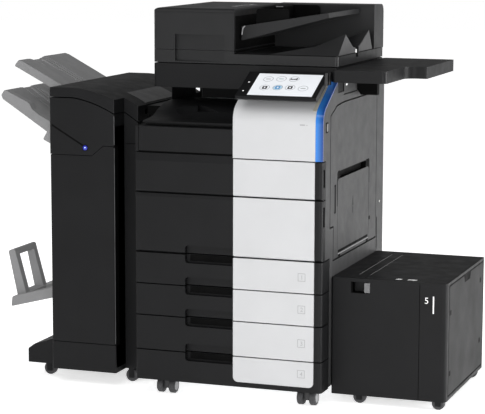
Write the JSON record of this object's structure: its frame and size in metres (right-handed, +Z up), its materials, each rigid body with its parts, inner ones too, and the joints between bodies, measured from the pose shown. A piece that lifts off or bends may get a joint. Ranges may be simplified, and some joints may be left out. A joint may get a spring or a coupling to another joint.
{
  "type": "office photocopier",
  "caption": "Floor-standing colour copier with document feeder, tilting touch panel, paper drawers, side table, side paper cabinet and finisher with output trays.",
  "frame": {"origin": "bottom centre of the whole machine's bounding box, on the floor", "axes": "+X to the right as seen from the front, +Y to the back, +Z up"},
  "size_m": [1.5296, 0.724, 1.215],
  "materials": {
    "cover_black": "fine-grained near-black moulded covers",
    "side_grey": "dark grey moulded side covers",
    "panel_white": "satin white moulded front panels",
    "strip_blue": "translucent blue light strip",
    "tray_grey": "mid grey moulded paper trays",
    "frame_steel": "zinc-plated sheet steel",
    "rear_steel": "powder-coated sheet steel",
    "clear_glass": "flat scanner glass",
    "screen_glass": "lit display behind flat glass",
    "panel_gloss": "gloss black control panel",
    "engine_grey": "unpainted grey engine mouldings",
    "belt_black": "smooth black transfer belt",
    "bottle_white": "natural plastic bottles",
    "caster_black": "moulded caster body",
    "wheel_grey": "hard rubber treads",
    "lever_grey": "light grey lever",
    "screw_zinc": "zinc-plated screws"
  },
  "bodies": {
    "machine_body": {"main_frame": "frame_steel", "rear_cover": "rear_steel", "left_cover": "cover_black", "right_cover": "side_grey", "output_tray": "cover_black", "relay_unit": "cover_black", "console_cover": "panel_white", "light_strip": "strip_blue", "scanner_housing": "cover_black", "platen_glass": "clear_glass", "side_table": "cover_black", "table_bracket": "cover_black", "laser_unit": "engine_grey", "drum_units": "engine_grey", "transfer_belt": "belt_black", "fuser_unit": "engine_grey", "toner_bottles": "bottle_white", "power_inlet": "cover_black", "cover_screws": "screw_zinc", "rear_caster_brackets": "caster_black"},
    "scan_carriage": {"scan_carriage": "engine_grey"},
    "left_caster": {"left_caster_fork": "caster_black"},
    "right_caster": {"right_caster_fork": "caster_black"},
    "left_wheels": {"left_caster_wheels": "wheel_grey"},
    "right_wheels": {"right_caster_wheels": "wheel_grey"},
    "rear_wheels": {"rear_caster_wheels": "wheel_grey"},
    "toner_door": {"toner_door_cover": "cover_black", "toner_door_panel": "panel_white"},
    "front_door": {"front_door_cover": "cover_black", "front_door_panel": "panel_white"},
    "right_door": {"right_door": "side_grey"},
    "bypass_tray": {"bypass_tray": "side_grey"},
    "document_feeder": {"adf_base": "cover_black"},
    "feeder_cover": {"feeder_cover": "cover_black"},
    "feed_tray": {"feed_tray": "cover_black"},
    "front_guide": {"front_paper_guide": "cover_black"},
    "rear_guide": {"rear_paper_guide": "cover_black"},
    "control_panel": {"panel_housing": "panel_gloss", "touch_screen": "screen_glass"},
    "paper_cabinet": {"lct_cabinet": "cover_black"},
    "paper_cabinet_lid": {"lct_lid": "cover_black"},
    "release_lever": {"lct_release_lever": "lever_grey"},
    "cabinet_left_wheels": {"lct_left_wheels": "wheel_grey"},
    "cabinet_right_wheels": {"lct_right_wheels": "wheel_grey"},
    "finisher": {"finisher_cabinet": "cover_black", "upper_tray": "tray_grey"},
    "finisher_door": {"finisher_door": "cover_black"},
    "finisher_top": {"finisher_top_cover": "cover_black"},
    "stacker": {"stacker_tray": "tray_grey"},
    "booklet_tray": {"booklet_tray": "tray_grey"},
    "finisher_left_wheels": {"finisher_left_wheels": "wheel_grey"},
    "finisher_right_wheels": {"finisher_right_wheels": "wheel_grey"},
    "drawer_1": {"drawer_1_tray": "cover_black", "drawer_1_panel": "panel_white"},
    "drawer_2": {"drawer_2_tray": "cover_black", "drawer_2_panel": "panel_white"},
    "drawer_3": {"drawer_3_tray": "cover_black", "drawer_3_panel": "panel_white"},
    "drawer_4": {"drawer_4_tray": "cover_black", "drawer_4_panel": "panel_white"}
  },
  "joints": [
    {"name": "scan_carriage_travel", "type": "slide", "parent": "machine_body", "child": "scan_carriage", "axis": [1, 0, 0], "range_m": [0, 0.4]},
    {"name": "left_caster_swivel", "type": "hinge", "parent": "machine_body", "child": "left_caster", "pos_m": [-0.12515, -0.268, 0.024], "axis": [0, 0, 1], "continuous": true},
    {"name": "left_caster_roll", "type": "hinge", "parent": "left_caster", "child": "left_wheels", "pos_m": [-0.12515, -0.284, 0.024], "axis": [1, 0, 0], "continuous": true},
    {"name": "right_caster_swivel", "type": "hinge", "parent": "machine_body", "child": "right_caster", "pos_m": [0.34185, -0.268, 0.024], "axis": [0, 0, 1], "continuous": true},
    {"name": "right_caster_roll", "type": "hinge", "parent": "right_caster", "child": "right_wheels", "pos_m": [0.34185, -0.284, 0.024], "axis": [1, 0, 0], "continuous": true},
    {"name": "rear_caster_roll", "type": "hinge", "parent": "machine_body", "child": "rear_wheels", "pos_m": [0.09035, 0.302, 0.024], "axis": [1, 0, 0], "continuous": true},
    {"name": "toner_door_flap", "type": "hinge", "parent": "machine_body", "child": "toner_door", "pos_m": [0.09035, -0.32, 0.6558], "axis": [1, 0, 0], "range_deg": [0, 90]},
    {"name": "front_door_flap", "type": "hinge", "parent": "machine_body", "child": "front_door", "pos_m": [0.09035, -0.32, 0.4668], "axis": [1, 0, 0], "range_deg": [0, 90]},
    {"name": "drawer_1_pull", "type": "slide", "parent": "machine_body", "child": "drawer_1", "axis": [0, -1, 0], "range_m": [0, 0.45]},
    {"name": "drawer_2_pull", "type": "slide", "parent": "machine_body", "child": "drawer_2", "axis": [0, -1, 0], "range_m": [0, 0.45]},
    {"name": "drawer_3_pull", "type": "slide", "parent": "machine_body", "child": "drawer_3", "axis": [0, -1, 0], "range_m": [0, 0.45]},
    {"name": "drawer_4_pull", "type": "slide", "parent": "machine_body", "child": "drawer_4", "axis": [0, -1, 0], "range_m": [0, 0.45]},
    {"name": "right_door_swing", "type": "hinge", "parent": "machine_body", "child": "right_door", "pos_m": [0.39585, 0.267, 0.69], "axis": [0, 0, 1], "range_deg": [0, 80]},
    {"name": "bypass_tray_fold", "type": "hinge", "parent": "right_door", "child": "bypass_tray", "pos_m": [0.39385, 0.0055, 0.455], "axis": [0, 1, 0], "range_deg": [0, 75]},
    {"name": "document_feeder_lift", "type": "hinge", "parent": "machine_body", "child": "document_feeder", "pos_m": [0.08885, 0.347, 1.0425], "axis": [-1, 0, 0], "range_deg": [0, 60]},
    {"name": "feeder_cover_lift", "type": "hinge", "parent": "document_feeder", "child": "feeder_cover", "pos_m": [-0.21715, 0.089, 1.082], "axis": [0, -1, 0], "range_deg": [0, 80]},
    {"name": "feed_tray_lift", "type": "hinge", "parent": "document_feeder", "child": "feed_tray", "pos_m": [0.06085, 0.089, 1.155], "axis": [0, -1, 0], "range_deg": [0, 25]},
    {"name": "front_guide_slide", "type": "slide", "parent": "feed_tray", "child": "front_guide", "axis": [0, 1, 0], "range_m": [0, 0.11]},
    {"name": "rear_guide_slide", "type": "slide", "parent": "feed_tray", "child": "rear_guide", "axis": [0, -1, 0], "range_m": [0, 0.11]},
    {"name": "control_panel_tilt", "type": "hinge", "parent": "machine_body", "child": "control_panel", "pos_m": [0.26285, -0.238, 0.95], "axis": [1, 0, 0], "range_deg": [-20, 10]},
    {"name": "paper_cabinet_undock", "type": "slide", "parent": "machine_body", "child": "paper_cabinet", "axis": [1, 0, 0], "range_m": [0, 0.3]},
    {"name": "paper_cabinet_lid_lift", "type": "hinge", "parent": "paper_cabinet", "child": "paper_cabinet_lid", "pos_m": [0.46535, 0.028, 0.397], "axis": [0, 1, 0], "range_deg": [-80, 0]},
    {"name": "release_lever_slide", "type": "slide", "parent": "paper_cabinet", "child": "release_lever", "axis": [-1, 0, 0], "range_m": [0, 0.03], "stiffness_N_per_m": 300},
    {"name": "cabinet_left_roll", "type": "hinge", "parent": "paper_cabinet", "child": "cabinet_left_wheels", "pos_m": [0.48685, 0.022, 0.02], "axis": [0, 1, 0], "continuous": true},
    {"name": "cabinet_right_roll", "type": "hinge", "parent": "paper_cabinet", "child": "cabinet_right_wheels", "pos_m": [0.73785, 0.022, 0.02], "axis": [0, 1, 0], "continuous": true},
    {"name": "finisher_undock", "type": "slide", "parent": "machine_body", "child": "finisher", "axis": [-1, 0, 0], "range_m": [0, 0.3]},
    {"name": "finisher_door_swing", "type": "hinge", "parent": "finisher", "child": "finisher_door", "pos_m": [-0.52565, -0.271, 0.44], "axis": [0, 0, -1], "range_deg": [0, 100]},
    {"name": "finisher_top_lift", "type": "hinge", "parent": "finisher", "child": "finisher_top", "pos_m": [-0.39615, 0.362, 0.93], "axis": [-1, 0, 0], "range_deg": [0, 40]},
    {"name": "stacker_lower", "type": "slide", "parent": "finisher", "child": "stacker", "axis": [0, 0, 1], "range_m": [-0.28, 0]},
    {"name": "booklet_tray_fold", "type": "hinge", "parent": "finisher", "child": "booklet_tray", "pos_m": [-0.53465, 0.027, 0.298], "axis": [0, 1, 0], "range_deg": [0, 45]},
    {"name": "finisher_left_roll", "type": "hinge", "parent": "finisher", "child": "finisher_left_wheels", "pos_m": [-0.58115, 0.0445, 0.021], "axis": [0, 1, 0], "continuous": true},
    {"name": "finisher_right_roll", "type": "hinge", "parent": "finisher", "child": "finisher_right_wheels", "pos_m": [-0.28815, 0.0445, 0.021], "axis": [0, 1, 0], "continuous": true}
  ],
  "couplings": [
    {"joint": "rear_guide_slide", "follows": "front_guide_slide", "ratio": 1}
  ]
}
